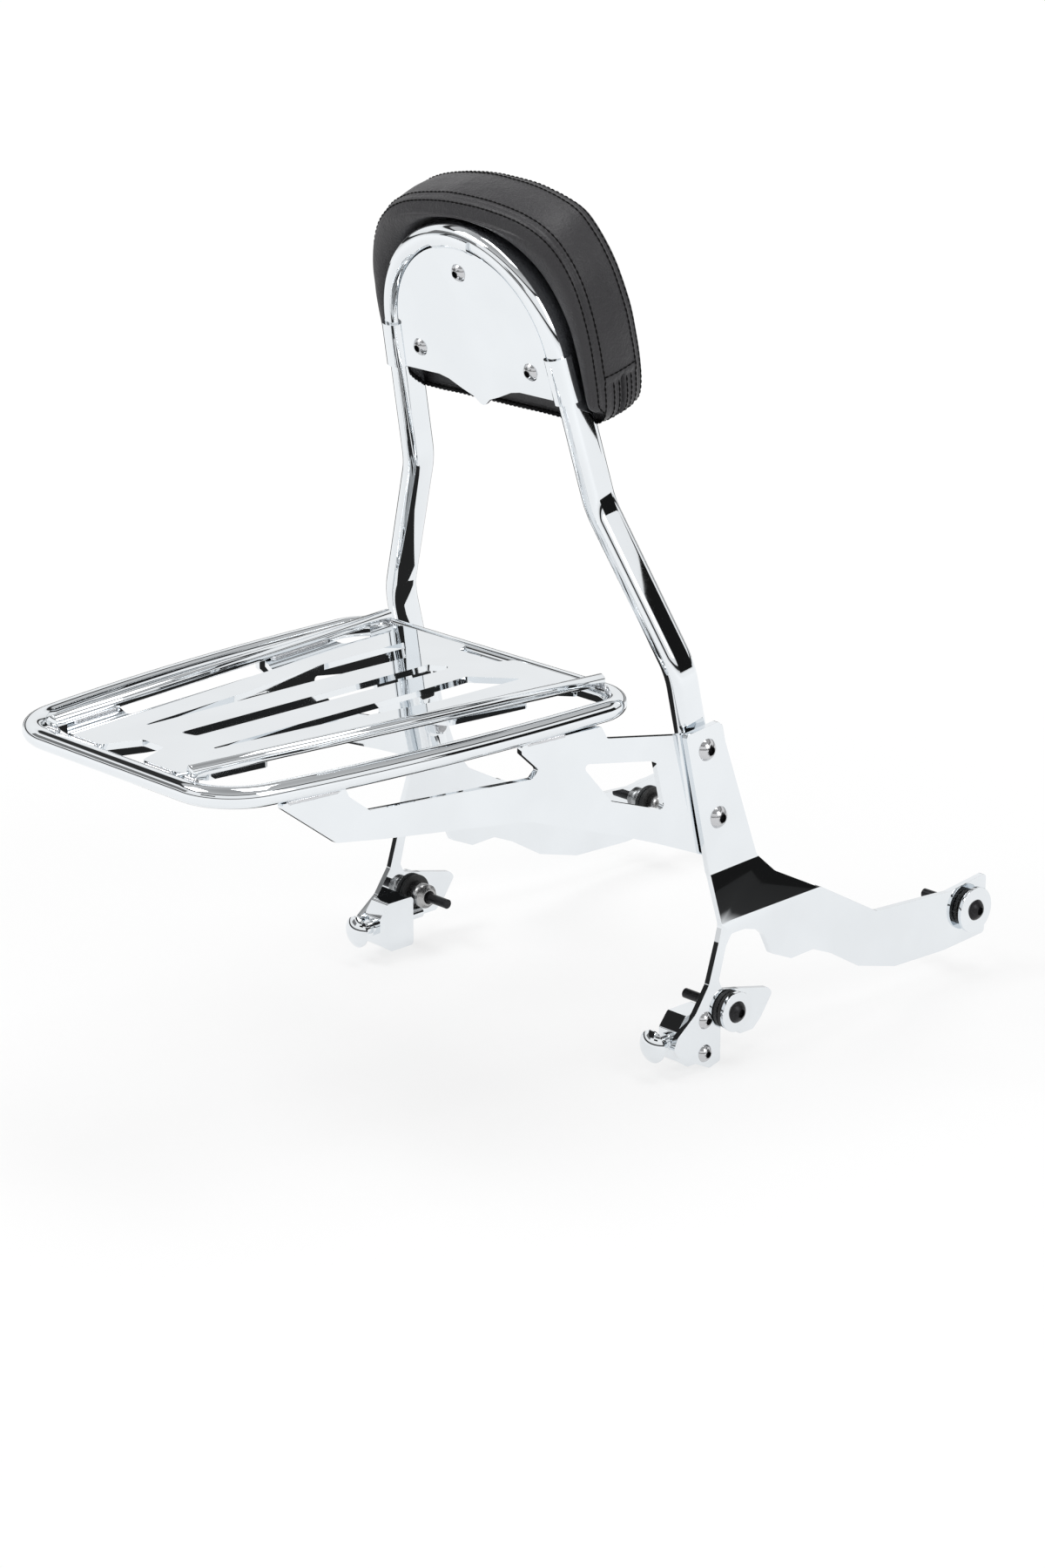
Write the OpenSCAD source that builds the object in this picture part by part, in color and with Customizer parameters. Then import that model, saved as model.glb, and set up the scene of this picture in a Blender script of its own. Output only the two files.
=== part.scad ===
// Detachable motorcycle luggage rack with a backrest hoop, pad and side plates.
// Millimetres, +X to the rider's right, +Y to the front, +Z up.
// The origin is the middle of the plane that luggage rests on, the tops of the two rack rods.

/* [Rack loop] */
// Outside diameter of the loop tube
tube_d = 15.9; // [14:0.1:20]
// Wall of the loop tube
tube_wall = 2; // [1.2:0.1:3]
// Rack length between the axes of the rear and front tubes
rack_len = 370; // [330:1:420]
// Straight run of the rear tube
rear_run = 160; // [130:1:190]
// Bend radius of the rear corners
rear_r = 45; // [30:1:60]
// Bend radius of the front corners
front_r = 32; // [26:1:50]
// Splay of the side rails where they leave the rear corners, in degrees
side_splay = 10; // [8:0.1:11]
// Bow radius of the side rails
side_r = 1585; // [1500:5:1650]

/* [Rods and deck] */
// Diameter of the two luggage rods
rod_d = 9.5; // [8:0.1:12]
// Half spacing of the rods at the rear tube
rod_half_rear = 77.8; // [72:0.1:84]
// Splay of the rods, in degrees
rod_splay = 6.5; // [5:0.1:8]
// Height of the rod axes above the axis of the loop tube
rod_rise = 12.6; // [12:0.1:13]
// Thickness of the deck plate
deck_t = 4.8; // [3:0.1:6]
// Half width of the deck behind its middle wings
deck_half = 65; // [60:0.5:70]
// Half width of the centre slot
slot_half = 9; // [6:0.5:12]
// Width of the two bars beside the centre slot
bar_w = 27; // [20:0.5:30]
// Rear end of the slots, from the rear tube
slot_rear = 60; // [50:1:80]
// Front end of the centre slot, from the front tube
slot_front = 55; // [45:1:90]

/* [Backrest bar] */
// Width of the flat oval bar, side to side
bar_t = 16; // [14:0.5:20]
// Depth of the flat oval bar, front to back
bar_depth = 27; // [24:0.5:34]
// Lean of the backrest, in degrees
lean = 13.5; // [8:0.5:18]
// Forward place of the bar's centre plane at the height of the loop tube
bar_y = 414.5; // [412:0.5:420]
// Hoop radius to the middle of the bar
hoop_r = 88.5; // [80:0.5:95]
// Height of the hoop's centre, measured along the lean
hoop_s = 256; // [240:1:280]
// Flare of the upper legs, in degrees
flare_top = 5.5; // [4:0.1:8]
// Flare of the middle legs, in degrees
flare_mid = 24.4; // [20:0.1:28]
// Half spacing of the lower legs
leg_half = 156; // [152:0.5:160]
// Bend radius of the legs
leg_r = 60; // [40:1:80]
// Lower end of the legs, measured along the lean
leg_end = 126; // [120:1:130]

/* [Insert plate] */
// Thickness of the insert plate
insert_t = 3; // [2:0.1:4]
// Wall of the half sleeves that grip the bar
sleeve_t = 2.4; // [1.5:0.1:4]
// Length of the side sleeves
sleeve_len = 35; // [20:1:45]
// Lower edge of the insert plate, measured along the lean
insert_low = 228; // [222:1:236]
// Angle of hoop that the top sleeve covers, in degrees
top_sleeve = 28; // [16:1:40]

/* [Pad] */
// Half width of the pad
pad_half = 115; // [112:0.5:125]
// Upper edge of the pad, measured along the lean
pad_top = 371; // [365:1:390]
// Lower edge of the pad, measured along the lean
pad_low = 203; // [196:1:215]
// Depth of the pad from its rear rim to its front face
pad_depth = 60; // [50:1:75]
// Thickness of the board at the back of the pad
board_t = 6; // [4:0.5:10]

/* [Side plates and brackets] */
// Thickness of the side plates and the rack brackets
plate_t = 4.8; // [4:0.1:6]
// Outward jog of the side plates below their upper tab
jog = 13; // [8:0.5:18]
// Height of the upper bend below the loop tube
bend_hi = 142.5; // [138:0.5:148]
// Height of the lower bend below the loop tube
bend_lo = 180; // [174:0.5:186]
// Spacing of the two docking points, front to back
dock_gap = 279; // [272:1:290]
// Place of the rear docking point, from the rear tube
dock_y = 441; // [436:0.5:446]
// Depth of the rear docking point below the loop tube
dock_drop = 253; // [250:0.5:258]
// Rise of the front docking point above the rear one
dock_rise = 12; // [6:0.5:18]
// Height of the front arm of a side plate
arm_h = 50; // [46:1:56]

/* [Docking hardware] */
// Diameter of the docking collar that the slots of a side plate hold
collar_d = 20; // [16:0.5:24]
// Outside diameter of the rubber flanges
rubber_d = 30; // [26:0.5:34]
// Thickness of each rubber flange
rubber_t = 4; // [3:0.1:6]
// Outside diameter of the front washers
washer_front_d = 38; // [32:0.5:42]
// Outside diameter of the rear washers
washer_rear_d = 32; // [28:0.5:36]
// Thickness of the docking washers
washer_t = 3; // [2:0.1:5]
// Distance from a side plate to the face of the motorcycle's strut
strut_gap = 21; // [20:0.5:26]
// Length of bolt that stands out of a docking sleeve
dock_stud = 22; // [14:1:30]
// Diameter of the thread on that end
stud_d = 7.9; // [7:0.1:8.4]

/* [Latch] */
// Diameter of the latch pin
pin_d = 9.5; // [8:0.1:11]
// Travel of the latch pin
pin_travel = 11.5; // [10:0.5:12]
// Diameter of the latch knob
knob_d = 26; // [20:0.5:30]
// Length of the latch block
block_len = 36.5; // [36:0.5:40]
// Diameter of the spring chamber
chamber_d = 14; // [13.6:0.1:15]
// Wire diameter of the latch spring
wire_d = 1.2; // [0.8:0.1:1.5]

/* [Fasteners] */
// Diameter of the large bolts at the uprights and docking points
big_bolt_d = 9.5; // [8:0.1:10]
// Head diameter of the large bolts
big_head_d = 17.5; // [16:0.1:20]
// Diameter of the small bolts at the insert plate and latch blocks
small_bolt_d = 7.9; // [6:0.1:8]
// Head diameter of the small bolts
small_head_d = 14; // [13:0.1:16]

/* [Hidden] */
run = 0.1;         // clearance of a bolt or pin in its hole, on the diameter
seat = 0.3;        // gap between curved faces that don't carry
bite = 0.25;       // depth that a welded piece is fused into its neighbour
seam = 0.3;        // what a ground seam stands proud, on the diameter
rack_mid = rack_len / 2;
slot_len = rack_len - slot_rear - slot_front;
lug_z = rod_rise + rod_d / 2;
tube_r = tube_d / 2;

// loop path, right half
turn_r = 90 - side_splay;
side_y0 = rear_r * (1 - cos(turn_r));
side_x0 = rear_run / 2 + rear_r * sin(turn_r);
side_cx = side_x0 - side_r * sin(turn_r);
side_cy = side_y0 + side_r * cos(turn_r);
rail_x = side_cx + side_r;

// deck
deck_top = rod_rise - rod_d / 2 + bite / 2;
deck_z = deck_top - deck_t;
deck_edge = sqrt(pow(tube_r, 2) - pow(deck_z, 2)) - 0.6;
function rod_x(y) = rod_half_rear + y * tan(rod_splay);
function deck_x(y) = deck_half + (y - slot_rear) * tan(rod_splay) * 0.85;

// backrest bar, right leg, in the leaning plane: x across, s up
top_pt = [hoop_r * cos(flare_top), hoop_s + hoop_r * sin(flare_top)];
dir_top = [sin(flare_top), -cos(flare_top)];
dir_mid = [sin(flare_mid), -cos(flare_mid)];
bend_s = 19.3;     // height of the lower bend
bend_low = [leg_half, bend_s];
// where the upper and middle legs cross
cross_t = (bend_low[0] - top_pt[0] + (top_pt[1] - bend_low[1]) * dir_mid[0] / dir_mid[1])
    / (dir_top[0] - dir_top[1] * dir_mid[0] / dir_mid[1]);
bend_top = top_pt + cross_t * dir_top;
cut_top = leg_r * tan((flare_mid - flare_top) / 2);
cut_low = leg_r * tan(flare_mid / 2);
function leg_x(s) = top_pt[0] + (top_pt[1] - s) * tan(flare_top);

// side plates
leg_flat = 2.6;    // depth of the flat milled in a leg for the bracket
tab_out = leg_half + bar_t / 2 - leg_flat + 2 * plate_t;
flange_in = leg_half + bar_t / 2 - leg_flat;
tab_in = flange_in + plate_t;
arm_out = tab_out + jog;
arm_in = arm_out - plate_t;
bolt_s = [-45, -103];
dock_z = -dock_drop;
dock2_y = dock_y + dock_gap;
dock2_z = dock_z + dock_rise;
fork_w = collar_d + 2 * seat;

// latch
pin_z = dock_z - collar_d / 2 - pin_d / 2 - 0.4;
block_y1 = dock_y - rubber_d / 2 - 1.5;
block_y0 = block_y1 - block_len;
block_t = 2 * (rubber_t + 3 * seat) + pin_d;
block_h = 44;
pin_x = arm_in - block_t / 2;
guide = 6;
neck = 4;
pin_tip = dock_y + 1;
flange_t = 3;
spring_y0 = block_y0 + neck + seat;
spring_y1 = block_y1 - guide - flange_t - seat;
latch_pitch = 27;

// docking stack, from the strut outwards
strut_x = arm_in - strut_gap;
stack_x = arm_out + seat + rubber_t + seat;
shank_over = 1;    // length of plain shank that stands out of a sleeve before the thread

$fn = 48;

// helpers
module kit() translate([0, -rack_mid, -lug_z]) children();
module both() { children(); mirror([1, 0, 0]) children(); }
module leaning() translate([0, bar_y, 0]) rotate([lean, 0, 0]) children();
// a side view outline in y and z, from x0 to x1
module side_prism(x0, x1) translate([x0, 0, 0]) rotate([90, 0, 90]) linear_extrude(x1 - x0) children();
module smooth(r) offset(r = r, $fn = 20) offset(r = -2 * r, $fn = 20) offset(r = r, $fn = 20) children();
module x_rod(d, x0, x1) translate([x0, 0, 0]) rotate([0, 90, 0]) cylinder(d = d, h = x1 - x0);
module y_rod(d, y0, y1) translate([0, y0, 0]) rotate([-90, 0, 0]) cylinder(d = d, h = y1 - y0);
// button head bolt along z, head above z = 0, with a hex socket
module button_bolt(d, head_d, len) {
    head_h = head_d * 0.3;
    dome = (pow(head_d / 2, 2) + pow(head_h, 2)) / (2 * head_h);
    difference() {
        union() {
            intersection() {
                translate([0, 0, head_h - dome]) sphere(r = dome);
                cylinder(d = head_d, h = head_h);
            }
            translate([0, 0, -len]) cylinder(d = d, h = len + 0.5);
        }
        translate([0, 0, head_h * 0.35]) cylinder(d = head_d * 0.42, h = head_h, $fn = 6);
    }
}
// weld bead between two points
module bead(a, b, d) {
    v = b - a;
    l = norm(v);
    translate(a) rotate([0, acos(v[2] / l), atan2(v[1], v[0])]) cylinder(d = d, h = l, $fn = 16);
}

// rack
// the loop is the same above and below its plane, so a half turn makes its left half
module halves() for (t = [0, 180]) rotate([0, t, 0]) children();
module loop_path(d) {
    translate([-rear_run / 2, 0, 0]) rotate([0, 90, 0]) cylinder(d = d, h = rear_run);
    halves() {
        translate([rear_run / 2, rear_r, 0]) rotate([0, 0, -90])
            rotate_extrude(angle = turn_r) translate([rear_r, 0]) circle(d = d);
        translate([side_cx, side_cy, 0]) rotate([0, 0, -side_splay])
            rotate_extrude(angle = side_splay) translate([side_r, 0]) circle(d = d);
        translate([rail_x, side_cy, 0]) rotate([-90, 0, 0])
            cylinder(d = d, h = rack_len - front_r - side_cy);
        translate([rail_x - front_r, rack_len - front_r, 0])
            rotate_extrude(angle = 90) translate([front_r, 0]) circle(d = d);
    }
    translate([-(rail_x - front_r), rack_len, 0]) rotate([0, 90, 0])
        cylinder(d = d, h = 2 * (rail_x - front_r));
}
// ground butt seams where the bent pieces of the loop meet
module seam_ring(p, turn, d) translate([p[0], p[1], 0]) rotate([-90, 0, -turn])
    translate([0, 0, -0.5]) cylinder(d = d + seam, h = 1);
module loop_rod(d) union() {
    loop_path(d);
    halves() {
        seam_ring([rear_run / 2, 0], 90, d);
        seam_ring([side_x0, side_y0], side_splay, d);
        seam_ring([rail_x, side_cy], 0, d);
        seam_ring([rail_x, rack_len - front_r], 0, d);
        seam_ring([rail_x - front_r, rack_len], 90, d);
    }
}
module rack_loop() kit() color("silver") difference() {
    loop_rod(tube_d);
    loop_rod(tube_d - 2 * tube_wall);
    // plating drain holes, under the rear and front tubes
    for (y = [0, rack_len], x = [-40, 40])
        translate([x, y, -tube_d]) cylinder(d = 4, h = tube_d);
}
rod_end = tube_r - 2.5;
module rod() color("silver")
    translate([rod_x(rod_end), rod_end, rod_rise]) rotate([-90, 0, -rod_splay])
        cylinder(d = rod_d, h = (rack_len - 2 * rod_end) / cos(rod_splay));
module rack_rod_right() kit() rod();
module rack_rod_left() kit() mirror([1, 0, 0]) rod();

tab_half = 62;
wing = [20, 72, rack_len - 145, rack_len - 73];
module deck_half_plate() polygon([
    [0, deck_edge + 29], [12, deck_edge + 29], [24, deck_edge], [tab_half, deck_edge],
    [rod_x(wing[0]), wing[0]], [rod_x(wing[1]), wing[1]],
    [deck_x(wing[1] - 8), wing[1] - 8], [deck_x(wing[2] - 12), wing[2] - 12],
    [rod_x(wing[2]), wing[2]], [rod_x(wing[3]), wing[3]],
    [deck_x(wing[3]) + 6, wing[3]], [deck_x(rack_len - 45) + 4, rack_len - 45],
    [rod_x(rack_len - 28) - 1, rack_len - 28], [rod_x(rack_len) - 20, rack_len - deck_edge],
    [28, rack_len - deck_edge], [21, rack_len - deck_edge - 13], [0, rack_len - deck_edge - 13]]);
module side_slot() {
    inner = slot_half + bar_w;
    outer = deck_x(slot_rear + slot_len) - 24;
    polygon([[inner + 1, slot_rear], [inner + 3, slot_rear], [inner + 12, slot_rear + 0.35 * slot_len],
        [outer - 1, slot_rear + 0.75 * slot_len], [outer, rack_len - slot_front + 18],
        [inner - 2, rack_len - slot_front - 8], [inner, slot_rear + 0.73 * slot_len]]);
}
module rack_deck() kit() color("silver") translate([0, 0, deck_z]) linear_extrude(deck_t)
    difference() {
        smooth(3) both() deck_half_plate();
        both() smooth(1) side_slot();
        smooth(3) polygon([[-slot_half + 2, slot_rear + 5], [slot_half - 2, slot_rear + 9],
            [slot_half, slot_rear + slot_len - 6], [slot_half - 4, slot_rear + slot_len],
            [-slot_half, slot_rear + slot_len - 8]]);
    }

// rack bracket, right side: a sheet that follows the rail, then steps out to the tab
brk_y0 = 44;
brk_x0 = 127.1;
jog_y = 401;
jog_z = -30;
jog_w = 7;
jog_tilt = 11.8;
module bracket_sheet() {
    k = (flange_in + plate_t / 2 - 3.7 - brk_x0) / (jog_y - brk_y0);
    h = plate_t / 2;
    far = 70;
    translate([0, jog_y, jog_z]) rotate([jog_tilt, 0, 0]) translate([0, 0, -180])
        linear_extrude(300) polygon([
            [brk_x0 - h - 60 * k, brk_y0 - 60 - jog_y], [brk_x0 + h - 60 * k, brk_y0 - 60 - jog_y],
            [flange_in - 3.7 + plate_t, 0], [flange_in + plate_t, jog_w],
            [flange_in + plate_t, far], [flange_in, far],
            [flange_in, jog_w + 1], [flange_in - 3.7, 1]]);
}
module bracket_outline() {
    weld_z = -tube_r + bite;
    difference() {
        smooth(2) polygon([
            [brk_y0, weld_z], [98, weld_z], [101, -14], [119, -28], [264, -35], [270, -29],
            [254, -14], [254, weld_z], [328, weld_z], [334, -18], [jog_y, -29],
            [446, -29], [470, -131], [427, -129], [384, -111], [348, -97], [264, -68],
            [244, -65], [132, -52], [90, -46], [brk_y0, -11]]);
        smooth(3) polygon([[309, -33], [381, -45], [391, -86], [339, -68]]);
    }
}
module upright_holes(d) leaning() for (s = bolt_s) translate([0, 0, s]) x_rod(d, leg_half - 30, leg_half + 60);
module bracket() color("silver") difference() {
    intersection() {
        bracket_sheet();
        side_prism(leg_half - 60, leg_half + 40) bracket_outline();
    }
    upright_holes(big_bolt_d + run * 4);
}
module rack_bracket_right() kit() bracket();
module rack_bracket_left() kit() mirror([1, 0, 0]) bracket();

// fillet welds of the rack
function rail_at(y) = side_cx + sqrt(pow(side_r, 2) - pow(side_cy - y, 2));
module rack_welds() kit() color("gainsboro") both() {
    w = 4.5;
    // rod ends on the tubes
    bead([rod_x(rod_end) - 5, tube_r - 1.5, 6.6], [rod_x(rod_end) + 5, tube_r - 1.5, 6.6], w);
    bead([rod_x(rack_len) - 5, rack_len - tube_r + 1.5, 6.6],
        [rod_x(rack_len) + 5, rack_len - tube_r + 1.5, 6.6], w);
    // deck on the tubes
    bead([27, tube_r - 2, 5.6], [tab_half - 4, tube_r - 2, 5.6], w - 1);
    bead([32, rack_len - tube_r + 2, 5.6], [rod_x(rack_len) - 26, rack_len - tube_r + 2, 5.6], w - 1);
    // rods on the deck wings
    bead([rod_x(wing[0] + 4) - 3, wing[0] + 4, deck_top + 0.6],
        [rod_x(wing[1] - 4) - 3, wing[1] - 4, deck_top + 0.6], w - 1.5);
    bead([rod_x(wing[2] + 4) - 3, wing[2] + 4, deck_top + 0.6],
        [rod_x(wing[3] - 4) - 3, wing[3] - 4, deck_top + 0.6], w - 1.5);
    // bracket under the rail
    bead([brk_x0 + plate_t / 2 + 0.6, brk_y0 + 4, -tube_r], [132.2 + plate_t / 2, 94, -tube_r], w - 1);
    bead([146.5 + plate_t / 2, 258, -tube_r], [rail_x + 1.2 + plate_t / 2, 296, -tube_r], w - 1);
}

// backrest bar
module oval() union() {
    square([bar_t, bar_depth - bar_t], center = true);
    for (y = [-1, 1]) translate([0, y * (bar_depth - bar_t) / 2]) circle(d = bar_t);
}
module oval_run(a, b) {
    v = b - a;
    translate([a[0], 0, a[1]]) rotate([0, atan2(v[0], v[1]), 0]) linear_extrude(norm(v)) children();
}
module oval_bend(c, r, a0, a1) translate([c[0], 0, c[1]]) rotate([90, 0, 0]) rotate([0, 0, a0])
    rotate_extrude(angle = a1 - a0) translate([r, 0]) children();
// ground seam across the bar, where a bend begins or ends
module oval_seam(p, turn) translate([p[0], 0, p[1]]) rotate([0, turn, 0]) translate([0, 0, -0.5])
    linear_extrude(1) union() {
        square([bar_t + seam, bar_depth - bar_t], center = true);
        for (y = [-1, 1]) translate([0, y * (bar_depth - bar_t) / 2]) circle(d = bar_t + seam);
    }
module leg() {
    p1 = bend_top - cut_top * dir_top;
    p2 = bend_low - cut_low * dir_mid;
    oval_run(top_pt, p1) oval();
    oval_bend(p1 + leg_r * [cos(flare_top), sin(flare_top)], leg_r,
        180 + flare_top, 180 + flare_mid) oval();
    oval_run(bend_top + cut_top * dir_mid, p2) oval();
    oval_bend(p2 - leg_r * [cos(flare_mid), sin(flare_mid)], leg_r, 0, flare_mid) oval();
    oval_run(bend_low - [0, cut_low], [leg_half, -leg_end]) oval();
    oval_seam(top_pt, -flare_top);
    oval_seam(p1, -flare_top);
    oval_seam(bend_top + cut_top * dir_mid, -flare_mid);
    oval_seam(p2, -flare_mid);
    oval_seam(bend_low - [0, cut_low], 0);
}
module backrest_bar() kit() color("silver") difference() {
    leaning() {
        oval_bend([0, hoop_s], hoop_r, flare_top, 180 - flare_top) oval();
        both() leg();
    }
    both() {
        upright_holes(big_bolt_d + run * 4);
        leaning() translate([flange_in, -bar_depth, -leg_end - 10]) cube([20, 2 * bar_depth, leg_end - 12]);
    }
}

// insert plate: a flat plate inside the hoop with three half sleeves round the back of the bar
insert_p = -9.6;
module half_sleeve() intersection() {
    difference() {
        offset(r = sleeve_t + run) oval();
        offset(r = run) oval();
    }
    translate([-bar_t, -bar_depth]) square([2 * bar_t, bar_depth - 1.5]);
}
screw_xs = [[0, hoop_s + 60], [-60, insert_low + 19], [60, insert_low + 19]];
module insert_outline() {
    inner = hoop_r - bar_t / 2 - seat;
    low_x = leg_x(insert_low) - bar_t / 2 - seat;
    difference() {
        union() {
            translate([0, hoop_s]) circle(r = inner, $fn = 96);
            polygon([[-low_x, insert_low], [-44, insert_low], [-34, insert_low - 2], [-20, insert_low - 8],
                [-9, insert_low - 12], [-3, insert_low - 17], [0, insert_low - 18], [3, insert_low - 17],
                [9, insert_low - 12], [20, insert_low - 8], [34, insert_low - 2], [44, insert_low],
                [low_x, insert_low], [inner * cos(flare_top), top_pt[1]], [-inner * cos(flare_top), top_pt[1]]]);
        }
        // below the straight lower edge only the ogee stays
        both() translate([44, insert_low - 3 * hoop_r]) square([2 * hoop_r, 3 * hoop_r]);
        translate([-50, insert_low - 18 - 3 * hoop_r]) square([100, 3 * hoop_r]);
        both() polygon([[0, insert_low - 18.01], [3, insert_low - 17.01], [9, insert_low - 12.01],
            [20, insert_low - 8.01], [34, insert_low - 2.01], [44.01, insert_low - 0.01],
            [50, insert_low - 60], [0, insert_low - 60]]);
    }
}
module insert_plate() kit() color("silver") leaning() difference() {
    union() {
        translate([0, insert_p + insert_t, 0]) rotate([90, 0, 0]) linear_extrude(insert_t) insert_outline();
        both() oval_run([leg_x(insert_low + sleeve_len), insert_low + sleeve_len],
            [leg_x(insert_low), insert_low]) half_sleeve();
        oval_bend([0, hoop_s], hoop_r, 90 - top_sleeve / 2, 90 + top_sleeve / 2) mirror([0, 1])
            intersection() {
                half_sleeve();
                translate([-bar_t, -bar_depth]) square([1.2 * bar_t, 2 * bar_depth]);
            }
    }
    for (q = screw_xs) translate([q[0], 0, q[1]]) y_rod(small_bolt_d + run * 4, -30, 0);
}
module insert_bolts() kit() color("dimgray") leaning()
    for (q = screw_xs) translate([q[0], insert_p, q[1]]) rotate([90, 0, 0])
        button_bolt(small_bolt_d, small_head_d, board_p + board_t - 0.5 - insert_p);
board_p = bar_depth / 2 + 1;
module pad_spacers() kit() color("dimgray") leaning()
    for (q = screw_xs) translate([q[0], 0, q[1]]) difference() {
        y_rod(small_head_d + 2, insert_p + insert_t, board_p);
        y_rod(small_bolt_d + run * 4, -30, 30);
    }

// pad
module recess(grow) offset(r = grow) {
    translate([0, hoop_s]) circle(r = hoop_r + bar_t / 2, $fn = 72);
    polygon([[-leg_x(pad_low) - bar_t / 2, pad_low], [leg_x(pad_low) + bar_t / 2, pad_low],
        [top_pt[0] + bar_t / 2, top_pt[1]], [-top_pt[0] - bar_t / 2, top_pt[1]]]);
}
module pad_outline(grow) offset(r = grow, $fn = 24) union() {
    crown = 62;
    intersection() {
        translate([0, pad_top - 2 * pad_half]) circle(r = 2 * pad_half, $fn = 120);
        translate([crown - pad_half, pad_top - crown]) square([2 * (pad_half - crown), 2 * crown]);
    }
    both() {
        translate([pad_half - crown, pad_top - crown - 11]) circle(r = crown, $fn = 72);
        polygon([[0, pad_low], [pad_half - 22, pad_low], [pad_half - 9, pad_low + 9],
            [pad_half, pad_low + 46], [pad_half, pad_top - crown - 11], [0, pad_top - crown]]);
    }
}
module pad_layer(p, h, grow) translate([0, p + h, 0]) rotate([90, 0, 0]) linear_extrude(h) pad_outline(grow);
module pad_board_outline() intersection() {
    recess(1);
    translate([-2 * pad_half, pad_low + 2]) square([4 * pad_half, 2 * pad_top]);
}
module pad_board() kit() color("black") leaning() difference() {
    translate([0, board_p + board_t, 0]) rotate([90, 0, 0]) linear_extrude(board_t) pad_board_outline();
    for (q = screw_xs) translate([q[0], 0, q[1]]) y_rod(small_bolt_d + run * 2, 0, 60);
}
module pad_cover() kit() color("black") leaning() difference() {
    hull() {
        pad_layer(1, 1, -7);
        pad_layer(6, 1, -3);
        pad_layer(pad_depth - 16, 1, 0);
        pad_layer(pad_depth - 8, 1, -6);
        pad_layer(pad_depth - 2, 1, -20);
        pad_layer(pad_depth, 0.5, -40);
    }
    translate([0, board_p + board_t + seat, 0]) rotate([90, 0, 0]) linear_extrude(pad_depth) {
        recess(1 + seat);
        translate([-leg_x(pad_low) - bar_t / 2 - 2, pad_low - 20]) square([2 * leg_x(pad_low) + bar_t + 4, 30]);
    }
}

// side plate, right: one sheet with two bends, cut to its outline
module sheet_profile() {
    miter = plate_t * tan(atan2(jog, bend_lo - bend_hi) / 2);
    polygon([[tab_out, 0], [tab_out, -bend_hi], [arm_out, -bend_lo], [arm_out, -400],
        [arm_in, -400], [arm_in, -bend_lo - miter], [tab_in, -bend_hi - miter], [tab_in, 0]]);
}
module side_outline() difference() {
    smooth(3.5) {
        union() {
            // tab and web
            polygon([[402, -28], [438, -24], [481, -bend_hi + 3], [497, -156],
                [541, -bend_lo + 1], [541, -bend_lo - 20], [430, -bend_lo - 5], [430, -bend_hi - 3]]);
            // front arm
            polygon([[430, -bend_lo + 2], [541, -bend_lo + 2], [607, dock2_z + 26],
                [dock2_y - 26, dock2_z + 20], [dock2_y + 20, dock2_z + arm_h / 2],
                [dock2_y + 20, dock2_z - arm_h / 2 - 1], [dock2_y - 30, dock2_z - arm_h / 2 - 4],
                [631, dock2_z - arm_h / 2 - 2], [587, dock2_z - 15], [555, -bend_lo - 57],
                [534, -bend_lo - 48], [509, -bend_lo - 49], [486, -bend_lo - 39],
                [477, -bend_lo - 21], [470, -bend_lo - 15], [456, -bend_lo - 11], [430, -bend_lo - 11]]);
            // leg, hook and foot
            polygon([[432, -bend_lo + 4], [446, -bend_lo + 4], [441, -bend_lo - 11], [435, -bend_lo - 20],
                [dock_y - 13, dock_z + 27], [dock_y - 9, dock_z + 19], [dock_y + 9, dock_z + 15],
                [dock_y + 42, dock_z + 7], [dock_y + 47, dock_z + 2], [dock_y + 35, dock_z - 15],
                [dock_y + 26, dock_z - 23], [dock_y + 10, dock_z - 23], [dock_y + 2, dock_z + 2],
                [dock_y - collar_d / 2, dock_z - 39], [dock_y - 22, dock_z - 42],
                [dock_y - 54, dock_z - 26], [dock_y - 61, dock_z - 17], [dock_y - 57, dock_z - 8],
                [dock_y - 38, dock_z + 6], [dock_y - 24, dock_z + 26], [dock_y - 14, dock_z + 58]]);
        }
    }
    // fork at the front docking point, hook at the rear one
    translate([dock2_y, dock2_z]) { circle(d = fork_w); translate([0, -fork_w / 2]) square([60, fork_w]); }
    translate([dock_y, dock_z]) { circle(d = fork_w); translate([-fork_w / 2, -60]) square([fork_w, 60]); }
}
module side_plate() color("silver") difference() {
    intersection() {
        side_prism(tab_in - 10, arm_out + 10) side_outline();
        translate([0, dock2_y + 60, 0]) rotate([90, 0, 0]) linear_extrude(dock2_y) sheet_profile();
    }
    upright_holes(big_bolt_d + run * 4);
    for (dz = [-1, 1]) translate([0, latch_y, pin_z + dz * latch_pitch / 2]) x_rod(small_bolt_d + run * 4, arm_in - 5, arm_out + 5);
}
module side_plate_right() kit() side_plate();
module side_plate_left() kit() mirror([1, 0, 0]) side_plate();

// bolts through tab, bracket and upright
nut_h = 8;
module upright_bolts() kit() color("silver") both() leaning()
    for (s = bolt_s) translate([tab_out, 0, s]) rotate([0, 90, 0])
        button_bolt(big_bolt_d, big_head_d, tab_out - leg_half + bar_t / 2 + nut_h + 2);
module upright_nuts() kit() color("silver") both() leaning()
    for (s = bolt_s) translate([leg_half - bar_t / 2 - nut_h, 0, s]) rotate([0, 90, 0]) difference() {
        union() {
            translate([0, 0, nut_h - 1.6]) cylinder(d = 20, h = 1.6);
            cylinder(d = 16, h = nut_h - 1, $fn = 6);
        }
        translate([0, 0, -1]) cylinder(d = big_bolt_d + run, h = nut_h + 2);
    }

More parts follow.
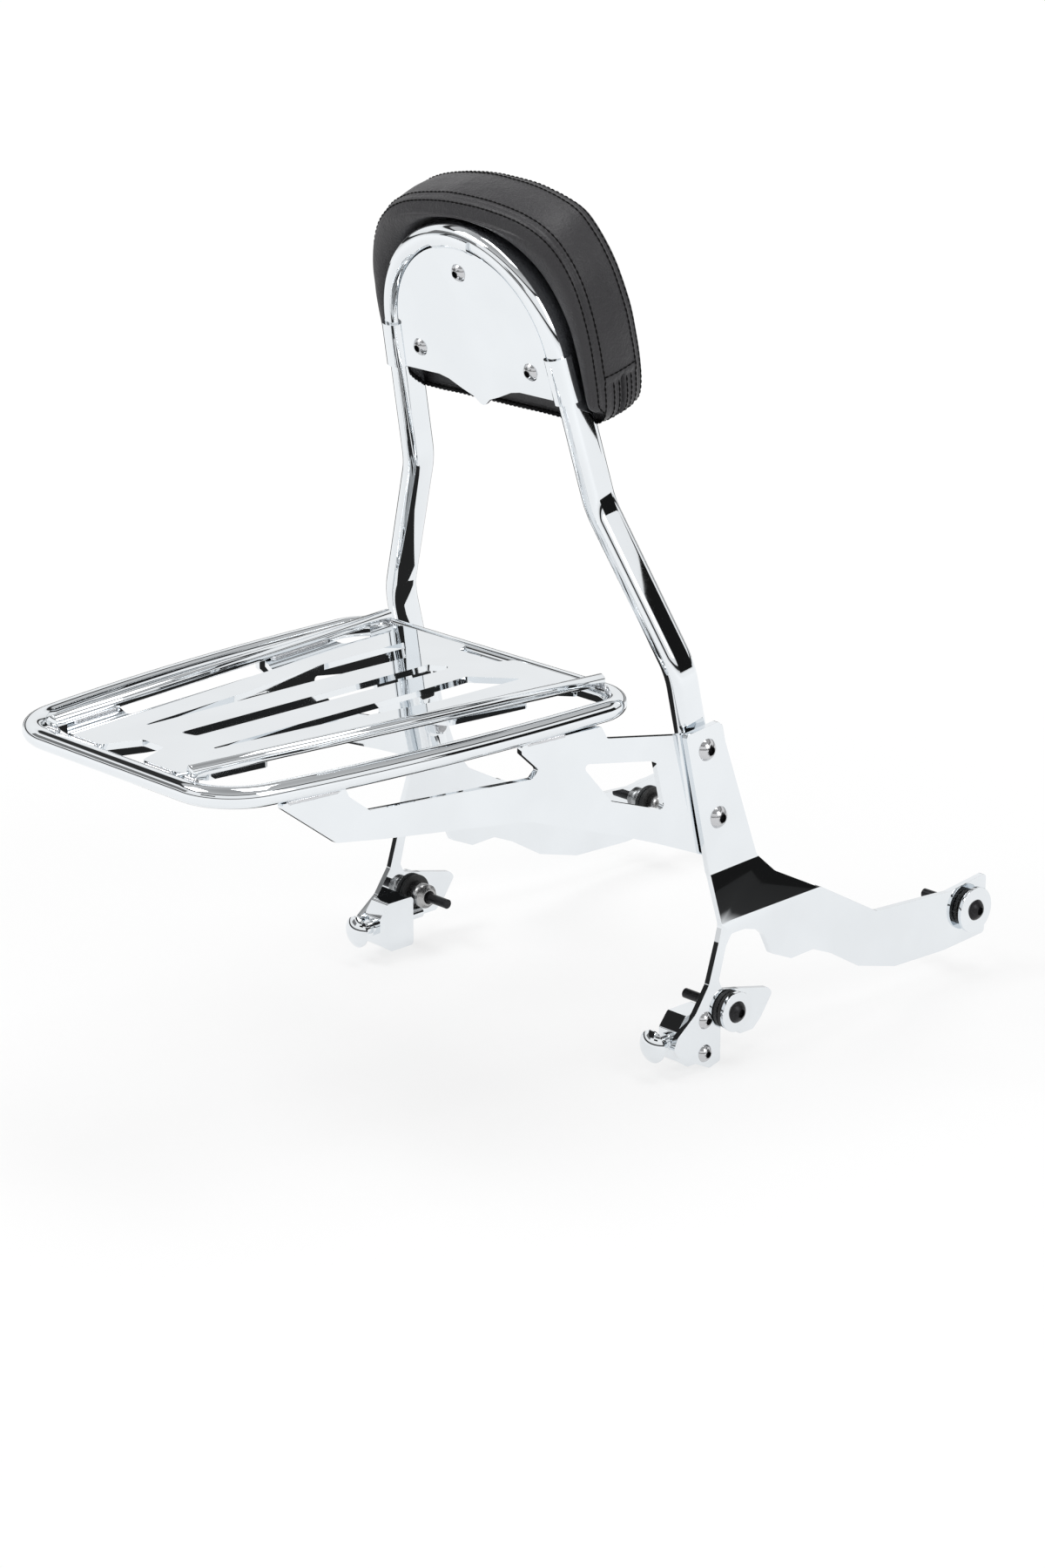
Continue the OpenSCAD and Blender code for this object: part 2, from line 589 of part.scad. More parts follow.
// latch: block, spring-loaded plunger with a pull knob, spring, screws
latch_y = dock_y - 27;
module latch_block() color("silver") difference() {
    union() {
        side_prism(arm_in - block_t, arm_in) smooth(3) polygon([
            [block_y0, pin_z - block_h / 2 + 8], [block_y0, pin_z + 9], [block_y0 + 9, pin_z + block_h / 2 - 2],
            [block_y1, pin_z + block_h / 2 - 2], [block_y1, pin_z - block_h / 2],
            [block_y0 + 12, pin_z - block_h / 2]]);
        translate([pin_x, 0, pin_z]) y_rod(chamber_d, block_y0 - neck, block_y0 + 1);
    }
    translate([pin_x, 0, pin_z]) {
        y_rod(pin_d + run, block_y0 - 20, block_y1 + 20);
        y_rod(chamber_d, block_y0 + neck, block_y1 - guide);
    }
    for (dz = [-1, 1]) translate([0, latch_y, pin_z + dz * latch_pitch / 2])
        x_rod(small_bolt_d + run, arm_in - 13, arm_in + 10);
}
knob_y = block_y0 - neck - 13;
module latch_plunger() color("silver") translate([pin_x, 0, pin_z]) {
    y_rod(pin_d, knob_y + 2, pin_tip - 1.5);
    translate([0, pin_tip - 1.5, 0]) rotate([-90, 0, 0]) cylinder(d1 = pin_d, d2 = pin_d - 3, h = 1.5);
    y_rod(chamber_d - 2 * seat, block_y1 - guide - flange_t, block_y1 - guide);
    // mushroom knob
    translate([0, knob_y, 0]) rotate([-90, 0, 0]) {
        intersection() {
            translate([0, 0, 12]) sphere(r = knob_d / 2 + 5);
            translate([0, 0, -12]) cylinder(d = knob_d, h = 13);
        }
        translate([0, 0, 0.9]) cylinder(d1 = knob_d - 1, d2 = pin_d + 2, h = 5);
        cylinder(d = pin_d + 2, h = 8);
    }
}
module latch_spring() color("gray") {
    turns = 5;
    steps = 14;
    sides = 6;
    r = (pin_d + chamber_d) / 4;
    n = turns * steps;
    pitch = (spring_y1 - spring_y0 - wire_d) / turns;
    ring = [for (i = [0:n], j = [0:sides - 1])
        let (a = 360 * i / steps, b = 360 * j / sides, q = r + wire_d / 2 * cos(b))
        [q * cos(a), spring_y0 + wire_d / 2 + pitch * i / steps + wire_d / 2 * sin(b), q * sin(a)]];
    faces = concat(
        [[for (j = [0:sides - 1]) j]],
        [for (i = [0:n - 1], j = [0:sides - 1])
            [i * sides + j, (i + 1) * sides + j, (i + 1) * sides + (j + 1) % sides, i * sides + (j + 1) % sides]],
        [[for (j = [sides - 1:-1:0]) n * sides + j]]);
    translate([pin_x, 0, pin_z]) polyhedron(ring, faces);
}
module latch_block_right() kit() latch_block();
module latch_block_left() kit() mirror([1, 0, 0]) latch_block();
module latch_plunger_right() kit() latch_plunger();
module latch_plunger_left() kit() mirror([1, 0, 0]) latch_plunger();
module latch_spring_right() kit() latch_spring();
module latch_spring_left() kit() mirror([1, 0, 0]) latch_spring();
module latch_screws() kit() color("silver") both()
    for (dz = [-1, 1]) translate([arm_out, latch_y, pin_z + dz * latch_pitch / 2]) rotate([0, 90, 0])
        button_bolt(small_bolt_d, small_head_d, plate_t + 12);

// docking hardware
module at_docks() both() {
    translate([0, dock_y, dock_z]) children();
    translate([0, dock2_y, dock2_z]) children();
}
module dock_sleeves() kit() color("gray") at_docks() difference() {
    union() {
        x_rod(collar_d - 5, strut_x, stack_x);
        x_rod(collar_d, strut_x + 3, arm_in - seat - rubber_t - seat);
    }
    x_rod(big_bolt_d + run * 4, strut_x - 5, stack_x + 5);
}
module dock_rubbers() kit() color("black") at_docks() difference() {
    union() {
        x_rod(rubber_d, arm_in - seat - rubber_t, arm_in - seat);
        x_rod(collar_d, arm_in - seat - 1, arm_out + seat + 1);
        x_rod(rubber_d, arm_out + seat, arm_out + seat + rubber_t);
    }
    x_rod(collar_d - 5 + run, strut_x, stack_x);
}
module dock_washers() kit() color("silver") both() {
    for (q = [[dock_y, dock_z, washer_rear_d], [dock2_y, dock2_z, washer_front_d]])
        translate([0, q[0], q[1]]) difference() {
            x_rod(q[2], stack_x, stack_x + washer_t);
            x_rod(big_bolt_d + run * 4, stack_x - 1, stack_x + washer_t + 1);
        }
}
module dock_bolts() kit() color("black") at_docks() {
    translate([stack_x + washer_t, 0, 0]) rotate([0, 90, 0])
        button_bolt(big_bolt_d, big_head_d, stack_x + washer_t - strut_x + shank_over);
    x_rod(stud_d, strut_x - dock_stud, strut_x);
}

rack_loop();
rack_rod_left();
rack_rod_right();
rack_deck();
rack_bracket_left();
rack_bracket_right();
rack_welds();
backrest_bar();
insert_plate();
insert_bolts();
pad_spacers();
pad_board();
pad_cover();
side_plate_left();
side_plate_right();
upright_bolts();
upright_nuts();
latch_block_left();
latch_block_right();
latch_plunger_left();
latch_plunger_right();
latch_spring_left();
latch_spring_right();
latch_screws();
dock_sleeves();
dock_rubbers();
dock_washers();
dock_bolts();
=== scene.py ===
import math

import bmesh
import bpy
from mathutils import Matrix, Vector, noise
from mathutils.bvhtree import BVHTree


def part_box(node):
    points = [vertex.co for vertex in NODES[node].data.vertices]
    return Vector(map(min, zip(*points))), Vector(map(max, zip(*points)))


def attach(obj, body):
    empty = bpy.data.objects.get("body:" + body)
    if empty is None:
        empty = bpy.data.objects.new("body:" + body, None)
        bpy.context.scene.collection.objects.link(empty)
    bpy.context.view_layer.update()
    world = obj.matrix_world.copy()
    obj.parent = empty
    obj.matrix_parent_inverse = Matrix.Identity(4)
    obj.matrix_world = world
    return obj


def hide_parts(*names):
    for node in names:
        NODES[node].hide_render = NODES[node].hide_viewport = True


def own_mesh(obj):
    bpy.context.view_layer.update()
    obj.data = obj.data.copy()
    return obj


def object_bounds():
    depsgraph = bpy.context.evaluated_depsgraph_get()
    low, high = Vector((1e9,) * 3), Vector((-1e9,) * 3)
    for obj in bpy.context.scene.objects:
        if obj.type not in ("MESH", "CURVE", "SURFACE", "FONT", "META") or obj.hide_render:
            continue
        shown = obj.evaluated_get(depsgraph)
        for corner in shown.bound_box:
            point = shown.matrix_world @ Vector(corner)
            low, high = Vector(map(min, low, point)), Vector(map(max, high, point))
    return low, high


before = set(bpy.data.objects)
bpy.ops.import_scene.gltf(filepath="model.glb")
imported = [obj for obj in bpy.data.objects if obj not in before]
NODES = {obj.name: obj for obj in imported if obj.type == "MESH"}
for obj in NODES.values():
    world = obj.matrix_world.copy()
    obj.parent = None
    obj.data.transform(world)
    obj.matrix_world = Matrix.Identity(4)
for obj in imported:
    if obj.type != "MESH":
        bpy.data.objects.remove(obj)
cad_lo, cad_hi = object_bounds()
scene = bpy.context.scene
scene.view_settings.view_transform = "Standard"

# camera at the photograph's viewing angle
RACK_MID, LUG_Z = 185.0, 17.35


def W(x, y, z):
    """millimetres from the middle of the rear tube's axis, to metres in the row frame"""
    return Vector((x, y - RACK_MID, z - LUG_Z)) * 0.001


AZ, EL = math.radians(46.52), math.radians(18.53)
cam_data = bpy.data.cameras.new("camera")
cam = bpy.data.objects.new("camera", cam_data)
scene.collection.objects.link(cam)
scene.camera = cam
cam_data.sensor_width = 36
cam_data.lens = 92.08
cam.location = W(2145.19, -1637.74, 885.26)
back = Vector((math.sin(AZ) * math.cos(EL), -math.cos(AZ) * math.cos(EL), math.sin(EL)))
cam.rotation_mode = "QUATERNION"
cam.rotation_quaternion = (-back).to_track_quat("-Z", "Y")
cam_data.clip_start, cam_data.clip_end = 0.05, 60


# materials
def material(name):
    m = bpy.data.materials.new(name)
    m.use_nodes = True
    return m, m.node_tree.nodes, m.node_tree.links, m.node_tree.nodes["Principled BSDF"]


def noise_node(n, scale, detail=3, rough=0.5, kind="ShaderNodeTexNoise"):
    t = n.new(kind)
    t.inputs["Scale"].default_value = scale
    if "Detail" in t.inputs:
        t.inputs["Detail"].default_value = detail
    if "Roughness" in t.inputs:
        t.inputs["Roughness"].default_value = rough
    return t


def object_coords(n, l, tex, scale=None):
    c = n.new("ShaderNodeTexCoord")
    if scale:
        m = n.new("ShaderNodeMapping")
        m.inputs["Scale"].default_value = scale
        l.new(c.outputs["Object"], m.inputs["Vector"])
        l.new(m.outputs["Vector"], tex.inputs["Vector"])
    else:
        l.new(c.outputs["Object"], tex.inputs["Vector"])


def ramp(n, l, src, stops):
    r = n.new("ShaderNodeValToRGB")
    while len(r.color_ramp.elements) > 1:
        r.color_ramp.elements.remove(r.color_ramp.elements[-1])
    r.color_ramp.elements[0].position = stops[0][0]
    r.color_ramp.elements[0].color = stops[0][1]
    for p, c in stops[1:]:
        e = r.color_ramp.elements.new(p)
        e.color = c
    l.new(src, r.inputs["Fac"])
    return r


def grey(v, a=1.0):
    return (v, v, v, a)


def add_bump(n, l, height, strength, distance, normal=None):
    b = n.new("ShaderNodeBump")
    b.inputs["Strength"].default_value = strength
    b.inputs["Distance"].default_value = distance
    l.new(height, b.inputs["Height"])
    if normal is not None:
        l.new(normal, b.inputs["Normal"])
    return b.outputs["Normal"]


def chrome(name, base, rough_lo, rough_hi, wave, wave_scale):
    m, n, l, p = material(name)
    p.inputs["Metallic"].default_value = 1.0
    tint = noise_node(n, 18, 2)
    object_coords(n, l, tint)
    lo = tuple(c * 0.97 for c in base) + (1,)
    c = ramp(n, l, tint.outputs["Fac"], [(0.35, lo), (0.65, tuple(base) + (1,))])
    l.new(c.outputs["Color"], p.inputs["Base Color"])
    smear = noise_node(n, 60, 4)
    object_coords(n, l, smear)
    r = ramp(n, l, smear.outputs["Fac"], [(0.3, grey(rough_lo)), (0.75, grey(rough_hi))])
    l.new(r.outputs["Color"], p.inputs["Roughness"])
    peel = noise_node(n, wave_scale, 2)
    object_coords(n, l, peel)
    l.new(add_bump(n, l, peel.outputs["Fac"], 1.0, wave), p.inputs["Normal"])
    return m


CHROME = chrome("chrome", (0.83, 0.86, 0.885), 0.015, 0.04, 0.000008, 30)
FASTENER = chrome("fastener_steel", (0.6, 0.605, 0.62), 0.1, 0.2, 0.00003, 260)
WELD = chrome("chrome_weld", (0.68, 0.69, 0.71), 0.12, 0.26, 0.0001, 500)


def steel(name, base, rough):
    m, n, l, p = material(name)
    p.inputs["Metallic"].default_value = 1.0
    t = noise_node(n, 900, 3)
    object_coords(n, l, t, (1, 1, 0.06))
    c = ramp(n, l, t.outputs["Fac"], [(0.3, grey(base * 0.8)), (0.7, grey(base))])
    l.new(c.outputs["Color"], p.inputs["Base Color"])
    r = ramp(n, l, t.outputs["Fac"], [(0.3, grey(rough)), (0.7, grey(rough + 0.12))])
    l.new(r.outputs["Color"], p.inputs["Roughness"])
    l.new(add_bump(n, l, t.outputs["Fac"], 0.5, 0.00003), p.inputs["Normal"])
    return m


STEEL = steel("turned_steel", 0.5, 0.22)


def black_oxide(name):
    m, n, l, p = material(name)
    p.inputs["Metallic"].default_value = 0.7
    t = noise_node(n, 700, 4, 0.6)
    object_coords(n, l, t)
    c = ramp(n, l, t.outputs["Fac"], [(0.3, grey(0.012)), (0.7, (0.03, 0.03, 0.034, 1))])
    l.new(c.outputs["Color"], p.inputs["Base Color"])
    r = ramp(n, l, t.outputs["Fac"], [(0.3, grey(0.26)), (0.7, grey(0.42))])
    l.new(r.outputs["Color"], p.inputs["Roughness"])
    l.new(add_bump(n, l, t.outputs["Fac"], 0.4, 0.00004), p.inputs["Normal"])
    return m


OXIDE = black_oxide("black_oxide")


def rubber(name):
    m, n, l, p = material(name)
    t = noise_node(n, 450, 5, 0.65)
    object_coords(n, l, t)
    c = ramp(n, l, t.outputs["Fac"], [(0.3, grey(0.008)), (0.75, grey(0.022))])
    l.new(c.outputs["Color"], p.inputs["Base Color"])
    r = ramp(n, l, t.outputs["Fac"], [(0.3, grey(0.42)), (0.75, grey(0.62))])
    l.new(r.outputs["Color"], p.inputs["Roughness"])
    l.new(add_bump(n, l, t.outputs["Fac"], 0.5, 0.00006), p.inputs["Normal"])
    return m


RUBBER = rubber("rubber")


def leather(name, grain, depth, crease):
    m, n, l, p = material(name)
    cells = noise_node(n, grain, kind="ShaderNodeTexVoronoi")
    cells.feature = "SMOOTH_F1"
    cells.inputs["Smoothness"].default_value = 0.6
    warp = noise_node(n, grain * 0.4, 3)
    c = n.new("ShaderNodeTexCoord")
    mix = n.new("ShaderNodeVectorMath")
    mix.operation = "MULTIPLY_ADD"
    l.new(c.outputs["Object"], warp.inputs["Vector"])
    l.new(warp.outputs["Color"], mix.inputs[0])
    mix.inputs[1].default_value = (0.0018, 0.0018, 0.0018)
    l.new(c.outputs["Object"], mix.inputs[2])
    l.new(mix.outputs["Vector"], cells.inputs["Vector"])
    pores = noise_node(n, grain * 3.2, 4, 0.6)
    l.new(c.outputs["Object"], pores.inputs["Vector"])
    folds = noise_node(n, crease, 3, 0.55)
    l.new(c.outputs["Object"], folds.inputs["Vector"])
    col = ramp(n, l, cells.outputs["Distance"],
               [(0.05, (0.009, 0.0087, 0.0095, 1)), (0.55, (0.036, 0.035, 0.038, 1))])
    l.new(col.outputs["Color"], p.inputs["Base Color"])
    ro = ramp(n, l, pores.outputs["Fac"], [(0.3, grey(0.3)), (0.7, grey(0.46))])
    l.new(ro.outputs["Color"], p.inputs["Roughness"])
    inv = n.new("ShaderNodeMath")
    inv.operation = "SUBTRACT"
    inv.inputs[0].default_value = 1.0
    l.new(cells.outputs["Distance"], inv.inputs[1])
    a = add_bump(n, l, inv.outputs["Value"], 0.7, depth)
    b = add_bump(n, l, pores.outputs["Fac"], 0.35, depth * 0.5, a)
    wrinkles = noise_node(n, crease * 7, 4, 0.6)
    l.new(mix.outputs["Vector"], wrinkles.inputs["Vector"])
    d = add_bump(n, l, wrinkles.outputs["Fac"], 0.6, depth * 2.2, b)
    e = add_bump(n, l, folds.outputs["Fac"], 0.5, depth * 6, d)
    l.new(e, p.inputs["Normal"])
    p.inputs["Specular IOR Level"].default_value = 0.32
    p.inputs["Sheen Weight"].default_value = 0.06
    p.inputs["Sheen Roughness"].default_value = 0.4
    return m


LEATHER = leather("black_leather", 520, 0.0003, 26)


def thread(name):
    m, n, l, p = material(name)
    t = n.new("ShaderNodeTexWave")
    t.inputs["Scale"].default_value = 900
    t.inputs["Distortion"].default_value = 1.0
    object_coords(n, l, t)
    c = ramp(n, l, t.outputs["Fac"], [(0.2, grey(0.003)), (0.8, grey(0.007))])
    l.new(c.outputs["Color"], p.inputs["Base Color"])
    p.inputs["Roughness"].default_value = 0.7
    p.inputs["Specular IOR Level"].default_value = 0.08
    l.new(add_bump(n, l, t.outputs["Fac"], 0.5, 0.00008), p.inputs["Normal"])
    return m


THREAD = thread("thread")


def plastic(name):
    m, n, l, p = material(name)
    t = noise_node(n, 1200, 3)
    object_coords(n, l, t)
    c = ramp(n, l, t.outputs["Fac"], [(0.3, grey(0.014)), (0.7, grey(0.024))])
    l.new(c.outputs["Color"], p.inputs["Base Color"])
    r = ramp(n, l, t.outputs["Fac"], [(0.3, grey(0.45)), (0.7, grey(0.6))])
    l.new(r.outputs["Color"], p.inputs["Roughness"])
    l.new(add_bump(n, l, t.outputs["Fac"], 0.4, 0.00005), p.inputs["Normal"])
    return m


PLASTIC = plastic("grained_plastic")


# mesh helpers
def set_material(o, m):
    o.data.materials.clear()
    o.data.materials.append(m)


def make(name, verts, faces, mat, smooth=True, sharp=None):
    me = bpy.data.meshes.new(name)
    me.from_pydata([tuple(v) for v in verts], [], faces)
    me.validate()
    bm = bmesh.new()
    bm.from_mesh(me)
    bmesh.ops.recalc_face_normals(bm, faces=bm.faces)
    bm.to_mesh(me)
    bm.free()
    me.polygons.foreach_set("use_smooth", [smooth] * len(me.polygons))
    if sharp:
        me.set_sharp_from_angle(angle=math.radians(sharp))
    o = bpy.data.objects.new(name, me)
    scene.collection.objects.link(o)
    set_material(o, mat)
    return o


def loft(name, rings, mat, closed=False, caps=True, sharp=None):
    """quads between equal rings of points"""
    k = len(rings[0])
    verts = [p for r in rings for p in r]
    faces = []
    count = len(rings)
    for i in range(count if closed else count - 1):
        a, b = i * k, ((i + 1) % count) * k
        for j in range(k):
            q = (j + 1) % k
            faces.append((a + j, a + q, b + q, b + j))
    if caps and not closed:
        faces.append(tuple(range(k - 1, -1, -1)))
        faces.append(tuple((count - 1) * k + j for j in range(k)))
    return make(name, verts, faces, mat, sharp=sharp)


def polish(o, width=0.0005, angle=38):
    """CAD plate: rounded edges and flat, even normals"""
    me = o.data
    me.polygons.foreach_set("use_smooth", [True] * len(me.polygons))
    if "custom_normal" in me.attributes:
        me.attributes.remove(me.attributes["custom_normal"])
    w = o.modifiers.new("weld", "WELD")
    w.merge_threshold = 0.00002
    if width:
        b = o.modifiers.new("edge", "BEVEL")
        b.width = width
        b.segments = 2
        b.limit_method = "ANGLE"
        b.angle_limit = math.radians(angle)
        b.miter_outer = "MITER_ARC"
        b.use_clamp_overlap = True
        b.harden_normals = False
        wn = o.modifiers.new("flat", "WEIGHTED_NORMAL")
        wn.keep_sharp = True
    else:
        me.set_sharp_from_angle(angle=math.radians(angle))


# loop tube, one smooth sweep round the rack
TUBE_R = 15.9 / 2
RACK_LEN, REAR_RUN, REAR_R, FRONT_R, SIDE_R, SPLAY = 370.0, 160.0, 45.0, 32.0, 1585.0, 10.0


def arc(c, r, a0, a1, n):
    out = []
    for i in range(n + 1):
        a = math.radians(a0 + (a1 - a0) * i / n)
        out.append((c[0] + r * math.cos(a), c[1] + r * math.sin(a)))
    return out


def side_values():
    turn = math.radians(90 - SPLAY)
    x0 = REAR_RUN / 2 + REAR_R * math.sin(turn)
    y0 = REAR_R * (1 - math.cos(turn))
    return x0 - SIDE_R * math.sin(turn), y0 + SIDE_R * math.cos(turn)


SIDE_CX, SIDE_CY = side_values()
RAIL_X = SIDE_CX + SIDE_R


def loop_half():
    pts = arc((REAR_RUN / 2, REAR_R), REAR_R, -90, -SPLAY, 28)
    pts += arc((SIDE_CX, SIDE_CY), SIDE_R, -SPLAY, 0, 24)[1:]
    pts += arc((RAIL_X - FRONT_R, RACK_LEN - FRONT_R), FRONT_R, 0, 90, 28)
    return pts


def ring_about(p, tangent, r, k=48, up=Vector((0, 0, 1))):
    side = tangent.cross(up).normalized()
    top = side.cross(tangent).normalized()
    turns = [2 * math.pi * j / k for j in range(k)]
    return [p + side * (r * math.cos(a)) + top * (r * math.sin(a)) for a in turns]


def closed_tube(name, pts, r, mat, k=48):
    n = len(pts)
    rings = []
    for i in range(n):
        t = (pts[(i + 1) % n] - pts[i - 1]).normalized()
        rings.append(ring_about(pts[i], t, r, k))
    return loft(name, rings, mat, closed=True)


half = loop_half()
outline = half + [(-x, y) for x, y in reversed(half)]
loop = closed_tube("loop_tube", [W(x, y, 0) for x, y in outline], TUBE_R / 1000, CHROME, 64)
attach(loop, "kit")
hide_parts("rack_loop")

# rods
ROD_R, ROD_Z, ROD_HALF, ROD_SPLAY = 9.5 / 2, 12.6, 77.8, math.radians(6.5)


def rod_x(y):
    return ROD_HALF + y * math.tan(ROD_SPLAY)


for side, s in (("right", 1), ("left", -1)):
    y0, y1 = TUBE_R - 2.5, RACK_LEN - TUBE_R + 2.5
    a, b = W(s * rod_x(y0), y0, ROD_Z), W(s * rod_x(y1), y1, ROD_Z)
    t = (b - a).normalized()
    prof = [(0.0, ROD_R - 0.5), (0.5, ROD_R)]
    rings = [ring_about(a + t * (d / 1000), t, r / 1000, 48) for d, r in prof]
    rings += [ring_about(b - t * (d / 1000), t, r / 1000, 48) for d, r in reversed(prof)]
    rod = loft("rod_" + side, rings, CHROME, sharp=50)
    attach(rod, "kit")
    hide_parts("rack_rod_" + side)


# backrest bar: one sweep of the flat oval section up one leg, round the hoop and down the other
LEAN = math.radians(13.5)
BAR_Y, BAR_T, BAR_D = 414.5, 16.0, 27.0
HOOP_R, HOOP_S = 88.5, 256.0
FLARE_T, FLARE_M = math.radians(5.5), math.radians(24.4)
LEG_HALF, LEG_R, LEG_END, BEND_S = 156.0, 60.0, 126.0, 19.3
LEG_FLAT, FLAT_TOP = 2.6, -22.0
FLANGE_IN = LEG_HALF + BAR_T / 2 - LEG_FLAT


def L(x, s, p=0.0):
    """a point of the leaning backrest: across, up along the lean, forward of the bar's middle"""
    return W(x, BAR_Y - s * math.sin(LEAN) + p * math.cos(LEAN), s * math.cos(LEAN) + p * math.sin(LEAN))


def leg_points():
    top = Vector((HOOP_R * math.cos(FLARE_T), HOOP_S + HOOP_R * math.sin(FLARE_T)))
    dt = Vector((math.sin(FLARE_T), -math.cos(FLARE_T)))
    dm = Vector((math.sin(FLARE_M), -math.cos(FLARE_M)))
    low = Vector((LEG_HALF, BEND_S))
    ratio = dm.x / dm.y
    t = (low.x - top.x + (top.y - low.y) * ratio) / (dt.x - dt.y * ratio)
    bend = top + dt * t
    cut_t = LEG_R * math.tan((FLARE_M - FLARE_T) / 2)
    cut_m = LEG_R * math.tan(FLARE_M / 2)
    p1 = bend - dt * cut_t
    p2 = low - dm * cut_m
    pts = []
    c = p1 + LEG_R * Vector((math.cos(FLARE_T), math.sin(FLARE_T)))
    pts += [(c.x + LEG_R * math.cos(a), c.y + LEG_R * math.sin(a))
            for a in [math.pi + FLARE_T + (FLARE_M - FLARE_T) * i / 10 for i in range(11)]]
    c = p2 - LEG_R * Vector((math.cos(FLARE_M), math.sin(FLARE_M)))
    pts += [(c.x + LEG_R * math.cos(a), c.y + LEG_R * math.sin(a))
            for a in [FLARE_M * (1 - i / 12) for i in range(13)]]
    return pts


def bar_path():
    hoop = arc((0, HOOP_S), HOOP_R, math.degrees(FLARE_T), 90, 40)
    right = list(reversed(hoop)) + leg_points()
    right += [(LEG_HALF, FLAT_TOP + 0.01), (LEG_HALF, FLAT_TOP - 0.01), (LEG_HALF, -LEG_END)]
    return right


def oval(k=14):
    pts = []
    for i in range(k + 1):
        a = math.pi * i / k
        pts.append((BAR_T / 2 * math.cos(a), (BAR_D - BAR_T) / 2 + BAR_T / 2 * math.sin(a)))
    for i in range(k + 1):
        a = math.pi + math.pi * i / k
        pts.append((BAR_T / 2 * math.cos(a), -(BAR_D - BAR_T) / 2 + BAR_T / 2 * math.sin(a)))
    return pts


right = bar_path()
path = [(-x, s) for x, s in reversed(right)] + right[1:]
rings = []
section = oval()
for i, (x, s) in enumerate(path):
    a = path[max(i - 1, 0)]
    b = path[min(i + 1, len(path) - 1)]
    t = Vector((b[0] - a[0], b[1] - a[1])).normalized()
    nrm = Vector((t.y, -t.x))
    ring = []
    for u, v in section:
        px, ps = x + nrm.x * u, s + nrm.y * u
        if s < FLAT_TOP:
            px = max(-FLANGE_IN, min(FLANGE_IN, px))
        ring.append(L(px, ps, v))
    rings.append(ring)
bar = loft("backrest_tube", rings, CHROME, sharp=40)
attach(bar, "kit")
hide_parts("backrest_bar")

# weld beads: overlapping ripples along each seam
DECK_TOP = ROD_Z - ROD_R + 0.125
WING = (20, 72, 225, 297)


def bead_paths():
    """start, end and width of each bead on the right side"""
    rl = RACK_LEN
    out = []
    re, w = TUBE_R - 2.5, 4.5
    out.append(((rod_x(re) - 6, TUBE_R - 1.5, 6.6), (rod_x(re) + 6, TUBE_R - 1.5, 6.6), w))
    out.append(((rod_x(rl) - 6, rl - TUBE_R + 1.5, 6.6), (rod_x(rl) + 6, rl - TUBE_R + 1.5, 6.6), w))
    out.append(((27, TUBE_R - 2, 5.6), (58, TUBE_R - 2, 5.6), w - 1))
    out.append(((32, rl - TUBE_R + 2, 5.6), (rod_x(rl) - 26, rl - TUBE_R + 2, 5.6), w - 1))
    for a, b in ((WING[0] + 4, WING[1] - 4), (WING[2] + 4, WING[3] - 4)):
        out.append(((rod_x(a) - 3, a, DECK_TOP + 0.6), (rod_x(b) - 3, b, DECK_TOP + 0.6), w - 1.5))
    out.append(((127.1 + 3, 48, -TUBE_R), (134.6, 94, -TUBE_R), w - 1))
    out.append(((148.9, 258, -TUBE_R), (RAIL_X + 3.6, 296, -TUBE_R), w - 1))
    return out


def bead_mesh():
    verts, faces = [], []
    k = 12
    for s in (1, -1):
        for a, b, d in bead_paths():
            a, b = W(s * a[0], a[1], a[2]), W(s * b[0], b[1], b[2])
            t = (b - a).normalized()
            length = (b - a).length
            pitch = d * 0.00034
            ripples = max(3, int(length / pitch))
            steps = ripples * 4
            base = len(verts)
            for i in range(steps + 1):
                f = i / steps
                end = min(1.0, 12 * min(f, 1 - f) + 0.25)
                r = d * 0.0005 * end * (1.0 + 0.13 * abs(math.sin(math.pi * f * ripples)) - 0.05)
                wob = noise.noise(Vector((f * 9, a.x * 300, s))) * 0.00025
                p = a + t * (length * f) + Vector((0, 0, wob))
                verts += ring_about(p, t, r, k)
            for i in range(steps):
                for j in range(k):
                    q = (j + 1) % k
                    u, v = base + i * k, base + (i + 1) * k
                    faces.append((u + j, u + q, v + q, v + j))
            faces.append(tuple(base + j for j in range(k - 1, -1, -1)))
            faces.append(tuple(base + steps * k + j for j in range(k)))
    return make("weld_beads", verts, faces, WELD)


beads = bead_mesh()
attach(beads, "kit")
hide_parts("rack_welds")


# pad
def spline(ctrl, n):
    """closed smooth outline through the right half's points, mirrored to the left"""
    pts = [Vector(c) for c in ctrl] + [Vector((-x, s)) for x, s in reversed(ctrl[1:-1])]
    m = len(pts)
    dense = []
    for i in range(m):
        p0, p1, p2, p3 = pts[i - 1], pts[i], pts[(i + 1) % m], pts[(i + 2) % m]
        for j in range(12):
            t = j / 12
            dense.append(0.5 * ((2 * p1) + (p2 - p0) * t + (2 * p0 - 5 * p1 + 4 * p2 - p3) * t * t
                                + (3 * p1 - p0 - 3 * p2 + p3) * t ** 3))
    length = [0.0]
    for i in range(len(dense)):
        length.append(length[-1] + (dense[(i + 1) % len(dense)] - dense[i]).length)
    total, out, j = length[-1], [], 0
    for i in range(n):
        want = total * i / n
        while length[j + 1] < want:
            j += 1
        f = (want - length[j]) / max(length[j + 1] - length[j], 1e-9)
        out.append(dense[j].lerp(dense[(j + 1) % len(dense)], f))
    return out


